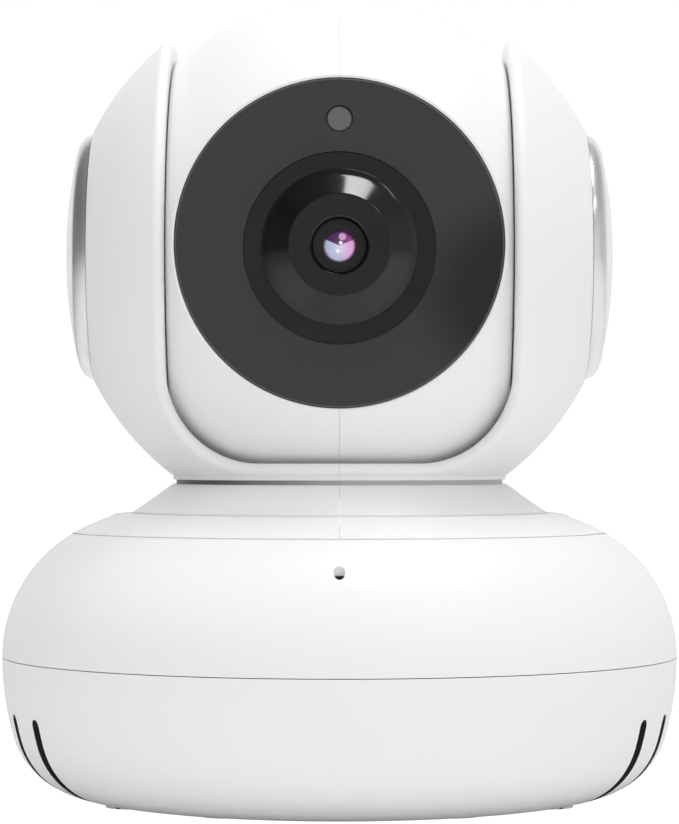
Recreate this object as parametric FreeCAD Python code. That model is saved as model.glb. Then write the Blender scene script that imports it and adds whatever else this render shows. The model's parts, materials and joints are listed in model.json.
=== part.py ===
"""Desk-top baby monitor camera with a motorised pan-and-tilt head.

A pebble-shaped base stands on rubber feet. A two-piece yoke turns on it about the vertical axis, and a
ball-shaped camera head, cut flat at both sides, tilts between the yoke's ears about the X axis.
Frame: millimetres, +Z up, the lens looks along -Y, the origin is on the floor under the pan axis.
Bodies: base, pan_drive, reset_key, yoke, head and filter_slide. Each section below makes the nodes of one.
"""

import FreeCAD
import Part
import math
import os

Vec = FreeCAD.Vector
X_AXIS = Vec(1, 0, 0)
Y_AXIS = Vec(0, 1, 0)
Z_AXIS = Vec(0, 0, 1)
ORIGIN = Vec(0, 0, 0)

# ---- driving dimensions -------------------------------------------------------------------------------
BASE_RADIUS = 55.0
FOOT_HEIGHT = 0.7          # the rubber feet stand this far below the housing
SEAM_Z = 23.0              # parting plane of the base
SEAM_GAP = 0.13
UPPER_ARC = 23.0           # radius of the base's rounded shoulder
SIDE_ARC = 46.5            # radius of the base's side below the seam
CORNER_ARC = 13.2          # radius where the side turns under
BASE_WALL = 2.0

HEAD_Z = 88.0              # height of the tilt axis
HEAD_RADIUS = 41.5
HEAD_HALF_WIDTH = 26.78
HEAD_EDGE = 2.0            # rounding of the head's side edges
HEAD_WALL = 2.0
SPLIT_GAP = 0.03           # the fine line between left and right shells

YOKE_RADIUS = 45.0
YOKE_INNER = 42.5
YOKE_CUT_Z = 52.3          # the bowl meets the neck's collar here
SLOT_HALF_WIDTH = 26.93
SLOT_DEPTH = 33.8          # from the tilt axis down to the sill
SLOT_CORNER = 14.3
LIP_ROUND = 1.0
EAR_WALL = 1.6
EAR_FLAT = 39.9            # plane that carries the side cap
CAP_APEX = 44.55
CAP_SPHERE = 75.8          # radius of the cap's dome
CAP_SHOULDER = 17.9        # distance from the tilt axis where the dome meets the rounded flank
CAP_FLANK = 3.0            # radius of that flank
CAP_SPIGOT = 15.4          # outside radius of the ring that plugs into the ear

NECK_TOP_RADIUS = 27.2
NECK_FOOT_RADIUS = 33.8
NECK_FOOT_Z = 46.35
GROOVE_TOP = 51.55         # the narrow groove round the top of the neck
GROOVE_LOW = 50.85
GROOVE_DEPTH = 0.5
SHOULDER_Z = 46.08         # flat top of the skirt
SHOULDER_RADIUS = 36.4
SKIRT_RADIUS = 43.3
SKIRT_GAP = 0.3
DECK_Z = 39.5              # top of the base's turntable deck
DECK_THICK = 1.6
FLOOR_Z = 43.4             # underside of the yoke's floor
FLOOR_THICK = 1.6

GEAR_MODULE = 0.6
GEAR_TEETH = 80
PINION_TEETH = 16
GEAR_THICK = 3.1
BACKLASH = 0.12
HUB_RADIUS = 11.6
CABLE_HOLE = 8.5
RUN_GAP = 0.05             # radial clearance of a running fit

WINDOW_RADIUS = 25.3
WINDOW_THICK = 2.0
WINDOW_FACE = 32.8         # distance of the window's face in front of the tilt axis
LENS_DROP = 0.8            # the lens axis lies this far below the window's centre
BEZEL_RADIUS = 14.7
SNOUT_BASE = 11.9
SNOUT_WAIST = 10.65        # the snout is a cone from its tip to here, then flares out to its base
SNOUT_WAIST_Y = 36.15      # distance of the cone's foot in front of the tilt axis
SNOUT_TIP = 7.8
SNOUT_FRONT = 38.9
SNOUT_HOLE = 4.3
SENSOR_HEIGHT = 19.0       # light sensor above the window's centre
SENSOR_RADIUS = 1.8

TILT_UP = 90.0             # degrees from level
TILT_DOWN = 20.0
STOP_TAB_ANGLE = 18.0
STOP_CLEARANCE = 0.8
STOP_WIDTH = 15.0

VENT_WIDTH = 2.4
VENT_TOP = 14.6
VENT_INNER = 43.8          # how far in under the base the vents run
VENT_FIRST = 60.5          # degrees from the front to the first vent at each side
VENT_STEP = 11.0           # degrees between vents
VENTS_EACH_SIDE = 6
MIC_HOLE = 0.85
MIC_Y = -49.2

MOTOR_RADIUS = 14.0
MOTOR_LENGTH = 18.0
MOTOR_OFFSET = 8.0         # the output shaft is this far off the can's axis
MOTOR_EAR = 17.5
SHAFT_RADIUS = 2.45

INLET_HALF_WIDTH = 6.2     # recess for the power plug
INLET_LOW = 8.4
INLET_HIGH = 15.6
INLET_DEEP = 47.6
BOARD_Z = 8.9
BOARD_THICK = 1.6
KEY_X = 15.0
KEY_Z = 12.6
CARD_X = -15.0
TRIPOD_BORE = 2.6          # tapping bore of a quarter-inch tripod thread
TRIPOD_LENGTH = 7.0

# ---- worked-out dimensions ----------------------------------------------------------------------------
UPPER_CENTRE = BASE_RADIUS - UPPER_ARC
SIDE_CENTRE = BASE_RADIUS - SIDE_ARC
CORNER_ANGLE = math.degrees(math.asin((SEAM_Z - FOOT_HEIGHT - CORNER_ARC) / (SIDE_ARC - CORNER_ARC)))
CORNER_R = SIDE_CENTRE + (SIDE_ARC - CORNER_ARC) * math.cos(math.radians(CORNER_ANGLE))
CORNER_Z = SEAM_Z - (SIDE_ARC - CORNER_ARC) * math.sin(math.radians(CORNER_ANGLE))
PITCH_GEAR = GEAR_MODULE * GEAR_TEETH / 2
PITCH_PINION = GEAR_MODULE * PINION_TEETH / 2
PAN_SHAFT_Y = -(PITCH_GEAR + PITCH_PINION)
GEAR_LOW = FLOOR_Z - GEAR_THICK
HUB_LOW = 30.9
LENS_Z = HEAD_Z - LENS_DROP
DECK_UNDER = DECK_Z - DECK_THICK
SNOUT_LEAN = math.atan2(SNOUT_FRONT - SNOUT_WAIST_Y, SNOUT_WAIST - SNOUT_TIP)
FLARE_END = math.radians(15.0)
FLARE_ARC = (SNOUT_BASE - SNOUT_WAIST) / (math.sin(SNOUT_LEAN) - math.sin(FLARE_END))
FLARE_R = SNOUT_WAIST + FLARE_ARC * math.sin(SNOUT_LEAN)
FLARE_Y = SNOUT_WAIST_Y + FLARE_ARC * math.cos(SNOUT_LEAN)
FLARE_RIM_Y = FLARE_Y - FLARE_ARC * math.cos(FLARE_END)
CAP_LEAN = math.degrees(math.asin(CAP_SHOULDER / CAP_SPHERE))
CAP_CENTRE_X = CAP_APEX - CAP_SPHERE
FLANK_X = CAP_CENTRE_X + (CAP_SPHERE - CAP_FLANK) * math.cos(math.radians(CAP_LEAN))
FLANK_R = (CAP_SPHERE - CAP_FLANK) * math.sin(math.radians(CAP_LEAN))
CAP_RADIUS = FLANK_R + CAP_FLANK * math.sin(math.radians(72))


# ---- helpers ------------------------------------------------------------------------------------------
def box(x0, x1, y0, y1, z0, z1):
    return Part.makeBox(x1 - x0, y1 - y0, z1 - z0, Vec(x0, y0, z0))


def rod(radius, start, end):
    """A cylinder from one centre point to another."""
    return Part.makeCylinder(radius, (end - start).Length, start, end - start)


def upright(radius, z0, z1, x=0.0, y=0.0):
    return Part.makeCylinder(radius, z1 - z0, Vec(x, y, z0))


def across(radius, x0, x1, y=0.0, z=HEAD_Z):
    """A cylinder along X."""
    return Part.makeCylinder(radius, x1 - x0, Vec(x0, y, z), X_AXIS)


def ahead(radius, front, back, x=0.0, z=LENS_Z):
    """A cylinder along Y, from `front` mm before the tilt axis back to `back` mm before it."""
    return Part.makeCylinder(radius, front - back, Vec(x, -front, z), Y_AXIS)


def cone_ahead(r_front, r_back, front, back, z=LENS_Z):
    return Part.makeCone(r_front, r_back, front - back, Vec(0, -front, z), Y_AXIS)


def tube(radius, bore, z0, z1, x=0.0, y=0.0):
    return upright(radius, z0, z1, x, y).cut(upright(bore, z0, z1, x, y))


def on_arc(centre_r, centre_z, radius, degrees):
    a = math.radians(degrees)
    return Vec(centre_r + radius * math.cos(a), 0, centre_z + radius * math.sin(a))


def outline(start, *steps):
    """A closed outline in the XZ plane. A step is a point for a line, or (middle, end) for an arc."""
    edges = []
    here = start
    for step in steps + (start,):
        if isinstance(step, tuple):
            middle, end = step
            edges.append(Part.Arc(here, middle, end).toShape())
        else:
            end = step
            if (end - here).Length > 1e-6:
                edges.append(Part.LineSegment(here, end).toShape())
        here = end
    return Part.Face(Part.Wire(edges))


def turned(face):
    """The solid of revolution about the Z axis."""
    return face.revolve(ORIGIN, Z_AXIS, 360)


def turned_x(face):
    """The solid of revolution about the X axis, moved up to the tilt axis."""
    solid = face.revolve(ORIGIN, X_AXIS, 360)
    solid.translate(Vec(0, 0, HEAD_Z))
    return solid


def ball(radius, z=HEAD_Z):
    return Part.makeSphere(radius, Vec(0, 0, z))


def fuse(shapes):
    return shapes[0].fuse(shapes[1:]).removeSplitter()


def solids_of(shape):
    """One solid as itself, several as a compound."""
    solids = shape.Solids
    return solids[0] if len(solids) == 1 else Part.makeCompound(solids)


def screw(radius, length, head_radius, head_height, tip, direction):
    """A pan-head screw with a cross-shaped drive recess, from the shank's `tip` in the `direction` of its head."""
    unit = Vec(direction).normalize()
    under_head = tip + unit * length
    top = under_head + unit * head_height
    body = rod(radius, tip, under_head).fuse(rod(head_radius, under_head, top))
    side = unit.cross(Vec(0.3, 0.5, 0.8)).normalize()
    other = unit.cross(side)
    for a, b in ((side, other), (other, side)):
        corner = top - a * head_radius * 0.6 - b * head_radius * 0.14 - unit * head_height * 0.55
        arm = Part.makePolygon([
            corner,
            corner + a * head_radius * 1.2,
            corner + a * head_radius * 1.2 + b * head_radius * 0.28,
            corner + b * head_radius * 0.28,
            corner,
        ])
        body = body.cut(Part.Face(arm).extrude(unit * head_height))
    return body


def mirrored_x(shape):
    return shape.mirror(ORIGIN, X_AXIS)


def halves(shape, gap=SPLIT_GAP):
    """Left (-X) and right (+X) of a shape, parted by a narrow gap."""
    reach = 80.0
    left = shape.common(box(-reach, -gap / 2, -reach, reach, -reach, 2 * reach))
    right = shape.common(box(gap / 2, reach, -reach, reach, -reach, 2 * reach))
    return left, right


def gear(teeth, thickness, z0, phase_degrees):
    """A spur gear about Z with involute flanks. A tooth points along the phase angle."""
    pitch = GEAR_MODULE * teeth / 2
    base = pitch * math.cos(math.radians(20))
    tip = pitch + 0.9 * GEAR_MODULE
    root = pitch - 1.2 * GEAR_MODULE
    involute = lambda r: math.tan(math.acos(base / r)) - math.acos(base / r)
    half_at_pitch = math.pi / (2 * teeth) - BACKLASH / (2 * pitch)

    def half_angle(r):
        return half_at_pitch + involute(pitch) - involute(max(r, base))

    radii = [root, max(root, base), pitch, tip]
    points = []
    for tooth in range(teeth):
        centre = math.radians(phase_degrees) + 2 * math.pi * tooth / teeth
        flank = [(r, centre - half_angle(r)) for r in radii]
        flank += [(r, centre + half_angle(r)) for r in reversed(radii)]
        for r, angle in flank:
            point = Vec(r * math.cos(angle), r * math.sin(angle), z0)
            if not points or (point - points[-1]).Length > 1e-4:
                points.append(point)
    points.append(points[0])
    return Part.Face(Part.makePolygon(points)).extrude(Z_AXIS * thickness)


def motor(place):
    """A geared stepper motor: the can with its mounting ears, and the plastic cover over its leads.

    Made with the output shaft on the Z axis pointing up and the front plate's face at z = 0."""
    can = upright(MOTOR_RADIUS, -MOTOR_LENGTH, -0.8, MOTOR_OFFSET)
    plate = upright(MOTOR_RADIUS, -0.8, 0, MOTOR_OFFSET)
    ears = box(MOTOR_OFFSET - MOTOR_EAR, MOTOR_OFFSET + MOTOR_EAR, -3.4, 3.4, -0.8, 0)
    for side in (-1, 1):
        ears = ears.fuse(upright(3.4, -0.8, 0, MOTOR_OFFSET + side * MOTOR_EAR))
    for side in (-1, 1):
        ears = ears.cut(upright(1.6, -1, 1, MOTOR_OFFSET + side * MOTOR_EAR))
    boss = upright(4.4, 0, 1.5)
    bore = upright(SHAFT_RADIUS + RUN_GAP, -11.0, 2.0)
    rib = tube(MOTOR_RADIUS + 0.25, MOTOR_RADIUS - 0.5, -10.4, -9.2, MOTOR_OFFSET)
    case = fuse([can, plate, ears, boss, rib]).cut(bore)
    cover = box(MOTOR_OFFSET - 7.3, MOTOR_OFFSET + 7.3, -16.6, 0, -17.4, -7.6)
    cover = cover.cut(upright(MOTOR_RADIUS + 0.3, -MOTOR_LENGTH - 1, 0, MOTOR_OFFSET))
    for step in range(5):
        cover = cover.cut(upright(0.7, -18, -14.5, MOTOR_OFFSET + 2.4 * (step - 2), -15.4))
    return case.transformGeometry(place), cover.transformGeometry(place)


def d_shaft(radius, start, length):
    """A shaft along Z from `start`, with a flat for its drive."""
    shaft = upright(radius, start, start + length)
    end = start + length
    return shaft.cut(box(radius * 0.62, radius * 2, -radius * 2, radius * 2, end - 6.5, end + 1))


# ---- base: the housing and what stands still ------------------------------------------------------------
def base_upper_shell():
    """The shoulder of the base, with the turntable deck inside it and the microphone pocket at the front."""
    opening = SKIRT_RADIUS + SKIRT_GAP
    inner_arc = UPPER_ARC - BASE_WALL
    foot = SEAM_Z + SEAM_GAP / 2
    foot_angle = math.degrees(math.asin((foot - SEAM_Z) / UPPER_ARC))
    top_angle = math.degrees(math.acos((opening - UPPER_CENTRE) / UPPER_ARC))
    in_foot = math.degrees(math.asin((foot - SEAM_Z) / inner_arc))
    in_top = math.degrees(math.asin((DECK_UNDER - SEAM_Z) / inner_arc))
    shell = outline(
        on_arc(UPPER_CENTRE, SEAM_Z, UPPER_ARC, foot_angle),
        (
            on_arc(UPPER_CENTRE, SEAM_Z, UPPER_ARC, (foot_angle + top_angle) / 2),
            on_arc(UPPER_CENTRE, SEAM_Z, UPPER_ARC, top_angle),
        ),
        Vec(opening, 0, DECK_Z),
        Vec(14.0, 0, DECK_Z),
        Vec(14.0, 0, 31.0),
        Vec(15.8, 0, 31.0),
        Vec(15.8, 0, DECK_UNDER),
        on_arc(UPPER_CENTRE, SEAM_Z, inner_arc, in_top),
        (
            on_arc(UPPER_CENTRE, SEAM_Z, inner_arc, (in_foot + in_top) / 2),
            on_arc(UPPER_CENTRE, SEAM_Z, inner_arc, in_foot),
        ),
    )
    shell = turned(shell)
    outside = ball(200, 0).common(turned(outline(
        Vec(0, 0, foot),
        on_arc(UPPER_CENTRE, SEAM_Z, UPPER_ARC, foot_angle),
        (
            on_arc(UPPER_CENTRE, SEAM_Z, UPPER_ARC, (foot_angle + top_angle) / 2),
            on_arc(UPPER_CENTRE, SEAM_Z, UPPER_ARC, top_angle),
        ),
        Vec(0, 0, on_arc(UPPER_CENTRE, SEAM_Z, UPPER_ARC, top_angle).z),
    )))
    posts = [upright(3.2, 15.0, DECK_UNDER, x, y) for x, y in SCREW_PLACES]
    stop = box(-0.8, 0.8, 35.8, 37.6, DECK_Z, 42.0)
    pocket = upright(3.9, 31.0, 36.5, 0, MIC_Y + 1.7).common(outside)
    bosses = [upright(2.4, DECK_UNDER, top, x, PAN_SHAFT_Y) for x, top in PAN_MOTOR_BOSSES]
    shell = fuse([shell, stop, pocket] + posts + bosses)
    for x, y in SCREW_PLACES:
        shell = shell.cut(upright(1.1, 14.0, 27.0, x, y))
    for x, top in PAN_MOTOR_BOSSES:
        shell = shell.cut(upright(1.2, DECK_UNDER - 1, top - 0.5, x, PAN_SHAFT_Y))
    shell = shell.cut(upright(4.6, DECK_UNDER - 1, DECK_Z + 1, 0, PAN_SHAFT_Y))
    shell = shell.cut(upright(2.85, 30.0, 34.2, 0, MIC_Y + 1.7))
    return shell.cut(upright(MIC_HOLE, 33.0, 45.0, 0, MIC_Y))


def base_body(inset, seam_z):
    """The solid inside the base's lower outline, moved in by `inset`."""
    side = SIDE_ARC - inset
    corner = CORNER_ARC - inset
    seam_angle = math.degrees(math.asin((seam_z - SEAM_Z) / side))
    return turned(outline(
        Vec(0, 0, seam_z),
        on_arc(SIDE_CENTRE, SEAM_Z, side, seam_angle),
        (
            on_arc(SIDE_CENTRE, SEAM_Z, side, (seam_angle - CORNER_ANGLE) / 2),
            on_arc(SIDE_CENTRE, SEAM_Z, side, -CORNER_ANGLE),
        ),
        (
            on_arc(CORNER_R, CORNER_Z, corner, -(CORNER_ANGLE + 90) / 2),
            on_arc(CORNER_R, CORNER_Z, corner, -90),
        ),
        Vec(0, 0, CORNER_Z - corner),
    ))


def vent(angle):
    """A cutter for one upright vent with a rounded top, which runs round under the base."""
    half = VENT_WIDTH / 2
    slot = box(VENT_INNER, 62, -half, half, -2, VENT_TOP - half)
    slot = slot.fuse(Part.makeCylinder(half, 62 - VENT_INNER, Vec(VENT_INNER, 0, VENT_TOP - half), X_AXIS))
    slot.rotate(ORIGIN, Z_AXIS, angle)
    return slot


def base_lower_shell():
    """The dish of the base: vents at both sides, sockets at the back, screw and board bosses inside."""
    top = SEAM_Z - SEAM_GAP / 2
    floor = FOOT_HEIGHT + BASE_WALL
    shell = base_body(0, top).cut(base_body(BASE_WALL, top))
    tongue = tube(BASE_RADIUS - BASE_WALL - 0.35, BASE_RADIUS - BASE_WALL - 1.6, top - 4, top + 2.2)
    solid = base_body(0, top)
    ledge = tube(BASE_RADIUS - 1.2, BASE_RADIUS - 3.4, top - 4, top - 2.5).common(solid)
    tongue = tongue.fuse(ledge)
    adds = [tongue]
    adds += [upright(3.6, FOOT_HEIGHT, 14.6, x, y) for x, y in SCREW_PLACES]
    adds += [upright(2.6, floor - 1, BOARD_Z, x, y) for x, y in BOARD_POSTS]
    adds += [upright(8.0, floor - 1, FOOT_HEIGHT + TRIPOD_LENGTH + 1.2)]
    adds += [box(-8, 8, 44.6, 54, 6.6, 17.4).common(solid)]
    adds += [box(KEY_X - 3.6, KEY_X + 3.6, 47.3, 54, KEY_Z - 3.6, KEY_Z + 3.6).common(solid)]
    adds += [box(-41.3, -39.9, -14, 14, floor - 1, 13.0), box(-35.1, -33.7, -14, 14, floor - 1, 13.0)]
    adds += [box(-44.4, -42.7, -6, 6, FOOT_HEIGHT, 9.0).common(solid)]
    shell = fuse([shell] + adds)
    for side in (-1, 1):
        for number in range(VENTS_EACH_SIDE):
            shell = shell.cut(vent(-90 + side * (VENT_FIRST + VENT_STEP * number)))
    for x, y in SCREW_PLACES:
        shell = shell.cut(upright(2.9, -1, 5.0, x, y)).cut(upright(1.5, -1, 16, x, y))
    for x, y in BOARD_POSTS:
        shell = shell.cut(upright(0.95, 4.0, 10, x, y))
    for x, y in FOOT_PLACES:
        shell = shell.cut(upright(5.6, -1, FOOT_HEIGHT + 0.9, x, y))
    shell = shell.cut(upright(4.9, -1, FOOT_HEIGHT + TRIPOD_LENGTH))
    shell = shell.cut(box(-INLET_HALF_WIDTH, INLET_HALF_WIDTH, INLET_DEEP, 60, INLET_LOW, INLET_HIGH))
    shell = shell.cut(box(-4.0, 4.0, 43, 60, BOARD_Z + BOARD_THICK - 0.1, BOARD_Z + BOARD_THICK + 3.1))
    shell = shell.cut(Part.makeCylinder(1.45 + RUN_GAP, 20, Vec(KEY_X, 42, KEY_Z), Y_AXIS))
    shell = shell.cut(box(CARD_X - 6.0, CARD_X + 6.0, 44, 60, 11.0, 12.4))
    shell = shell.cut(across(11.7, -41.4, -39.8, 0, SPEAKER_Z))
    return shell.cut(across(7.6, -35.15, -33, 0, SPEAKER_Z))


SCREW_PLACES = [(sx * 32.8, sy * 22.9) for sx in (-1, 1) for sy in (-1, 1)]
FOOT_PLACES = [(sx * 17.0, sy * 27.0) for sx in (-1, 1) for sy in (-1, 1)]
BOARD_POSTS = [(-21.0, 17.5), (21.0, 17.5), (22.0, 36.0), (-5.4, 32.6)]
PAN_MOTOR_BOSSES = [(MOTOR_OFFSET - MOTOR_EAR, 41.5), (MOTOR_OFFSET + MOTOR_EAR, 40.3)]
SPEAKER_Z = 19.0


def rubber_feet():
    feet = []
    for x, y in FOOT_PLACES:
        pad = upright(5.5, 0, FOOT_HEIGHT + 0.9, x, y)
        rim = [e for e in pad.Edges if abs(e.BoundBox.ZMax) < 1e-6]
        feet.append(pad.makeFillet(0.35, rim))
    return Part.makeCompound(feet)


def tripod_insert():
    """Brass insert with the bore for a quarter-inch tripod screw and a knurled outside."""
    top = FOOT_HEIGHT + TRIPOD_LENGTH
    insert = tube(4.85, TRIPOD_BORE, FOOT_HEIGHT + 0.1, top - 0.05)
    for groove in (2.2, 4.4):
        insert = insert.cut(tube(5.2, 4.4, FOOT_HEIGHT + groove, FOOT_HEIGHT + groove + 0.7))
    return insert


def base_screws():
    return Part.makeCompound([
        screw(1.05, 18.0, 2.6, 1.6, Vec(x, y, 23.0), Vec(0, 0, -1)) for x, y in SCREW_PLACES
    ])


def base_board():
    board = box(-24.5, 24.5, 14.0, 42.0, BOARD_Z, BOARD_Z + BOARD_THICK)
    parts = [
        board,
        box(-10, -2, 17, 25, BOARD_Z + BOARD_THICK, BOARD_Z + BOARD_THICK + 1.2),
        box(3, 9, 18, 24, BOARD_Z + BOARD_THICK, BOARD_Z + BOARD_THICK + 3.0),
        upright(3.1, BOARD_Z + BOARD_THICK, BOARD_Z + BOARD_THICK + 7.0, 14, 20),
        upright(2.5, BOARD_Z + BOARD_THICK, BOARD_Z + BOARD_THICK + 6.0, 6, 31),
    ]
    board = fuse(parts)
    for x, y in BOARD_POSTS:
        board = board.cut(upright(1.3, BOARD_Z - 1, BOARD_Z + 12, x, y))
    return board


def base_board_screws():
    top = BOARD_Z + BOARD_THICK
    return Part.makeCompound([
        screw(0.9, 5.0, 1.9, 1.2, Vec(x, y, top - 5.0), Vec(0, 0, 1)) for x, y in BOARD_POSTS
    ])


def power_socket():
    """Micro-USB receptacle: a thin metal shell round a plastic tongue."""
    low = BOARD_Z + BOARD_THICK
    shell = box(-3.8, 3.8, 36.6, 47.4, low, low + 2.95)
    shell = shell.cut(box(-3.45, 3.45, 38.2, 48, low + 0.35, low + 2.6))
    return shell.fuse(box(-2.6, 2.6, 38.0, 46.2, low + 1.7, low + 2.25)).removeSplitter()


def card_socket():
    low = BOARD_Z + BOARD_THICK
    cage = box(CARD_X - 6.9, CARD_X + 6.9, 27.4, 41.6, low, low + 1.9)
    return cage.cut(box(CARD_X - 5.7, CARD_X + 5.7, 28.2, 42, low + 0.45, low + 1.45))


def reset_switch():
    low = BOARD_Z + BOARD_THICK
    case = box(KEY_X - 3.0, KEY_X + 3.0, 38.4, 41.8, low, low + 4.2)
    return case.fuse(Part.makeCylinder(1.3, 4.2, Vec(KEY_X, 41.6, KEY_Z), Y_AXIS)).removeSplitter()


def reset_button():
    """The key that the finger pushes, held in by its collar."""
    key = Part.makeCylinder(1.45, 5.3, Vec(KEY_X, 46.4, KEY_Z), Y_AXIS)
    tip = [e for e in key.Edges if e.BoundBox.YMin > 51.6]
    key = key.makeFillet(0.3, tip)
    return key.fuse(Part.makeCylinder(2.3, 0.8, Vec(KEY_X, 46.4, KEY_Z), Y_AXIS)).removeSplitter()


def speaker_frame():
    frame = across(13.0, -42.6, -41.4, 0, SPEAKER_Z).fuse(across(11.6, -41.4, -35.2, 0, SPEAKER_Z))
    frame = frame.cut(across(11.9, -43, -41.6, 0, SPEAKER_Z)).cut(across(10.8, -41.7, -36.0, 0, SPEAKER_Z))
    return frame.cut(across(3.4, -37, -35, 0, SPEAKER_Z))


def speaker_magnet():
    return across(7.5, -35.2, -30.2, 0, SPEAKER_Z)


def speaker_cone():
    """Paper cone with its raised surround and dust cap."""
    cone = outline(
        Vec(-41.65, 0, 11.8),
        Vec(-41.85, 0, 11.8),
        Vec(-41.85, 0, 11.3),
        (Vec(-42.5, 0, 10.5), Vec(-41.85, 0, 9.7)),
        Vec(-38.9, 0, 4.4),
        Vec(-39.9, 0, 3.2),
        Vec(-40.3, 0, 0),
        Vec(-40.0, 0, 0),
        Vec(-39.6, 0, 3.0),
        Vec(-38.5, 0, 4.2),
        Vec(-41.55, 0, 9.75),
        (Vec(-42.2, 0, 10.5), Vec(-41.65, 0, 11.2)),
    )
    solid = cone.revolve(ORIGIN, X_AXIS, 360)
    solid.translate(Vec(0, 0, SPEAKER_Z))
    return solid


def microphone_boot():
    boot = upright(2.8, 31.0, 34.1, 0, MIC_Y + 1.7)
    return boot.cut(upright(2.05, 31.6, 35, 0, MIC_Y + 1.7))


def microphone_capsule():
    return upright(2.0, 31.6, 33.3, 0, MIC_Y + 1.7)


def pan_place():
    return FreeCAD.Matrix(FreeCAD.Placement(Vec(0, PAN_SHAFT_Y, DECK_UNDER), FreeCAD.Rotation()).toMatrix())


def pan_motor_screws():
    return Part.makeCompound([
        screw(1.15, top - 0.6 - (DECK_UNDER - 0.8), 2.4, 1.4, Vec(x, PAN_SHAFT_Y, top - 0.6), Vec(0, 0, -1))
        for x, top in PAN_MOTOR_BOSSES
    ])


def pan_bush():
    """Flanged plastic bush that carries the yoke's hub."""
    sleeve = tube(13.95, HUB_RADIUS + RUN_GAP, 31.0, DECK_Z)
    return sleeve.fuse(tube(17.0, HUB_RADIUS + RUN_GAP, DECK_Z, DECK_Z + 0.7)).removeSplitter()


# ---- pan drive: the motor's shaft and pinion -------------------------------------------------------------
def pan_motor_shaft():
    shaft = d_shaft(SHAFT_RADIUS, -10.5, 15.5)
    shaft.translate(Vec(0, PAN_SHAFT_Y, DECK_UNDER))
    return shaft


def pan_pinion():
    half_tooth = 180.0 / PINION_TEETH
    pinion = gear(PINION_TEETH, GEAR_THICK - 0.2, GEAR_LOW, 90 + half_tooth)
    pinion.translate(Vec(0, PAN_SHAFT_Y, 0))
    shaft = d_shaft(SHAFT_RADIUS, -10.5, 15.5)
    shaft.translate(Vec(0, PAN_SHAFT_Y, DECK_UNDER))
    return pinion.cut(shaft)


# ---- yoke: turns on the base -----------------------------------------------------------------------------
def slot_cutter():
    """What the camera head shows through: straight sides, round lower corners, open at the top."""
    low = HEAD_Z - SLOT_DEPTH
    width = SLOT_HALF_WIDTH
    centre_x = width - SLOT_CORNER
    centre_z = low + SLOT_CORNER
    diagonal = SLOT_CORNER * math.sqrt(0.5)
    top = HEAD_Z + 60
    face = outline(
        Vec(-width, 0, top),
        Vec(-width, 0, centre_z),
        (Vec(-centre_x - diagonal, 0, centre_z - diagonal), Vec(-centre_x, 0, low)),
        Vec(centre_x, 0, low),
        (Vec(centre_x + diagonal, 0, centre_z - diagonal), Vec(width, 0, centre_z)),
        Vec(width, 0, top),
    )
    cutter = face.extrude(Y_AXIS * 120)
    cutter.translate(Vec(0, -60, 0))
    return cutter


def neck_and_skirt():
    """Floor, collar, neck and skirt below the bowl, as one turned solid."""
    skirt_in = UPPER_ARC - 1.8
    in_low = math.degrees(math.acos((SKIRT_RADIUS - 1.8 - UPPER_CENTRE) / skirt_in))
    in_top = math.degrees(math.acos((NECK_FOOT_RADIUS + 0.3 - UPPER_CENTRE) / skirt_in))
    rim = on_arc(UPPER_CENTRE, SEAM_Z, UPPER_ARC, math.degrees(math.acos((SKIRT_RADIUS - UPPER_CENTRE) / UPPER_ARC)))
    wall_low = DECK_Z + 0.9
    bowl_in = math.sqrt(YOKE_INNER ** 2 - (HEAD_Z - YOKE_CUT_Z - 1) ** 2)
    return turned(outline(
        Vec(CABLE_HOLE, 0, FLOOR_Z),
        Vec(CABLE_HOLE, 0, FLOOR_Z + FLOOR_THICK),
        Vec(23.0, 0, FLOOR_Z + FLOOR_THICK),
        Vec(23.6, 0, YOKE_CUT_Z - 0.3),
        Vec(bowl_in, 0, YOKE_CUT_Z + 1),
        Vec(bowl_in + 1.2, 0, YOKE_CUT_Z + 1),
        Vec(bowl_in + 1.2, 0, YOKE_CUT_Z),
        Vec(NECK_TOP_RADIUS, 0, YOKE_CUT_Z),
        Vec(NECK_TOP_RADIUS, 0, GROOVE_TOP + 0.1),
        Vec(NECK_TOP_RADIUS - 0.1, 0, GROOVE_TOP),
        Vec(NECK_TOP_RADIUS - GROOVE_DEPTH, 0, GROOVE_TOP),
        Vec(NECK_TOP_RADIUS - GROOVE_DEPTH, 0, GROOVE_LOW),
        Vec(NECK_TOP_RADIUS - 0.1, 0, GROOVE_LOW),
        Vec(NECK_TOP_RADIUS + 0.1, 0, GROOVE_LOW - 0.06),
        Vec(NECK_FOOT_RADIUS, 0, NECK_FOOT_Z),
        Vec(NECK_FOOT_RADIUS, 0, SHOULDER_Z - 0.25),
        Vec(NECK_FOOT_RADIUS + 0.25, 0, SHOULDER_Z - 0.25),
        (Vec(NECK_FOOT_RADIUS + 0.32, 0, SHOULDER_Z - 0.07), Vec(NECK_FOOT_RADIUS + 0.5, 0, SHOULDER_Z)),
        Vec(SHOULDER_RADIUS, 0, SHOULDER_Z),
        (Vec(SHOULDER_RADIUS + 0.6, 0, SHOULDER_Z - 0.13), Vec(SHOULDER_RADIUS + 1.1, 0, SHOULDER_Z - 0.46)),
        (Vec(40.55, 0, 44.42), rim),
        Vec(SKIRT_RADIUS, 0, wall_low),
        Vec(SKIRT_RADIUS - 1.8, 0, wall_low),
        on_arc(UPPER_CENTRE, SEAM_Z, skirt_in, in_low),
        (
            on_arc(UPPER_CENTRE, SEAM_Z, skirt_in, (in_low + in_top) / 2),
            on_arc(UPPER_CENTRE, SEAM_Z, skirt_in, in_top),
        ),
        Vec(32.6, 0, 44.2),
        Vec(27.4, 0, 47.6),
        Vec(26.0, 0, 47.6),
        Vec(26.0, 0, FLOOR_Z),
    ))


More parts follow.
